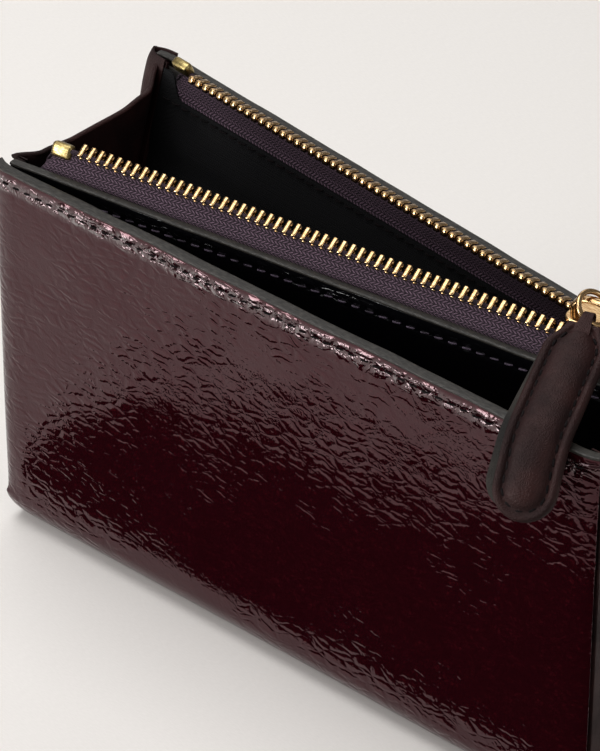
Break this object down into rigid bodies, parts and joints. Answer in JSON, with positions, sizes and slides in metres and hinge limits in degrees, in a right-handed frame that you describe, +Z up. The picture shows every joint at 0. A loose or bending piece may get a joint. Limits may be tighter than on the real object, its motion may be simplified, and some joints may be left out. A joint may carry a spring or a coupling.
{
  "type": "long wallet",
  "caption": "Long zip-top wallet standing open: front slip pocket, gusseted zip compartment, metal zip with slider, ring and padded leather pull.",
  "frame": {"origin": "on the floor, in the flat foot under the middle of the wallet, midway between its two ends", "axes": "+X along the length towards the end where the slider stands, +Y from the front wall to the back wall, +Z up"},
  "size_m": [0.18, 0.0777, 0.1209],
  "materials": {
    "patent_leather": "crinkled high-gloss patent, dark burgundy",
    "divider_leather": "glossy aubergine black",
    "brown_leather": "matte fine-grained dark brown",
    "edge_paint": "painted leather edge, dark grey green, satin",
    "stiffener_board": "pressed fibre board",
    "lining_fabric": "black woven lining",
    "zip_tape": "aubergine herringbone woven tape",
    "gold_metal": "polished pale gold plating",
    "stop_brass": "polished yellow brass"
  },
  "bodies": {
    "front": {"outer_wrap": "patent_leather", "front_board": "stiffener_board", "front_lining": "brown_leather", "front_edge_paint": "edge_paint", "base_board": "stiffener_board", "base_lining": "lining_fabric", "left_gusset": "brown_leather", "right_gusset": "brown_leather"},
    "divider": {"divider_panel": "divider_leather", "divider_board": "stiffener_board", "divider_lining": "lining_fabric", "divider_edge_paint": "edge_paint", "front_zip_tape": "zip_tape", "front_teeth": "gold_metal", "front_top_stop": "stop_brass", "bottom_stop": "stop_brass"},
    "back": {"back_panel": "patent_leather", "back_edge_board": "stiffener_board", "back_lining": "lining_fabric", "back_edge_paint": "edge_paint", "back_zip_tape": "zip_tape", "back_teeth": "gold_metal", "back_top_stop": "stop_brass"},
    "slider": {"slider_body": "gold_metal", "slider_bridge": "gold_metal"},
    "ring": {"pull_ring": "gold_metal"},
    "pull": {"pull_top_leather": "brown_leather", "pull_filler": "stiffener_board", "pull_edge_welt": "edge_paint", "pull_bottom_leather": "brown_leather", "pull_loop": "brown_leather"}
  },
  "joints": [
    {"name": "mouth_close", "type": "hinge", "parent": "front", "child": "back", "pos_m": [0.25693, 0.02749, 0.09], "axis": [0, 0, 1], "range_deg": [0, 7.2], "deforming": ["left_gusset", "right_gusset", "back_panel", "back_lining", "back_zip_tape", "back_teeth"]},
    {"name": "divider_close", "type": "hinge", "parent": "front", "child": "divider", "pos_m": [-0.088, -0.008, 0.05], "axis": [0, 0, 1], "range_deg": [-7, 0], "deforming": ["left_gusset", "right_gusset"]},
    {"name": "slider_travel", "type": "slide", "parent": "divider", "child": "slider", "axis": [-0.9894, -0.1453, 0], "range_m": [0, 0.13114], "deforming": ["front_zip_tape", "front_teeth", "back_zip_tape", "back_teeth"]},
    {"name": "ring_swing", "type": "hinge", "parent": "slider", "child": "ring", "pos_m": [0.06408, 0.02115, 0.1183], "axis": [0.9659, 0.2588, 0], "range_deg": [-150, 0]},
    {"name": "pull_swing", "type": "hinge", "parent": "ring", "child": "pull", "pos_m": [0.06552, 0.01577, 0.11668], "axis": [0.9659, 0.2588, 0], "range_deg": [-45, 0]}
  ],
  "couplings": [
    {"joint": "divider_close", "follows": "mouth_close", "ratio": -0.97222},
    {"joint": "slider_travel", "follows": "mouth_close", "m_per_rad": 1.0428}
  ]
}
